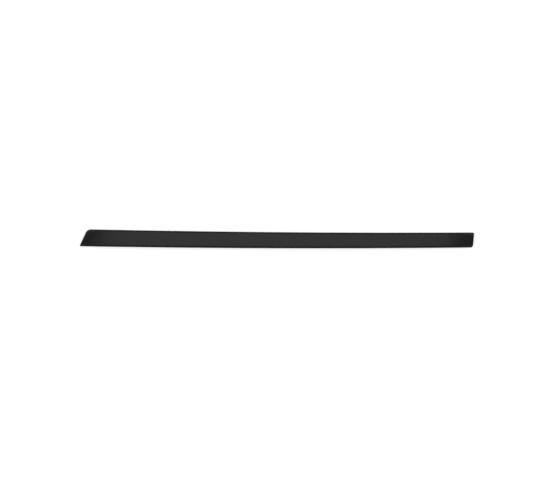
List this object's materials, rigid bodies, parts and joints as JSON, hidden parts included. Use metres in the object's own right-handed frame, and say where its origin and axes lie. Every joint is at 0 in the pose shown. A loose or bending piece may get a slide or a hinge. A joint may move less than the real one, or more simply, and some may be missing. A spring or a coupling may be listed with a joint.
{
  "type": "car body side moulding",
  "caption": "Long, thin, tapered car door rub strip with a crowned face, one slanted end, one square end and a hollow back with clip seats.",
  "frame": {"origin": "in the plane of the back rim, on the chord of the strip's centre line, at mid-length", "axes": "+X along the strip from the slanted end to the square end, +Y towards its upper edge, +Z out of its show face"},
  "size_m": [1, 0.0455, 0.012],
  "materials": {
    "moulded_plastic": "fine grained black, dull"
  },
  "bodies": {
    "root": {"moulding_strip": "moulded_plastic"}
  },
  "joints": []
}
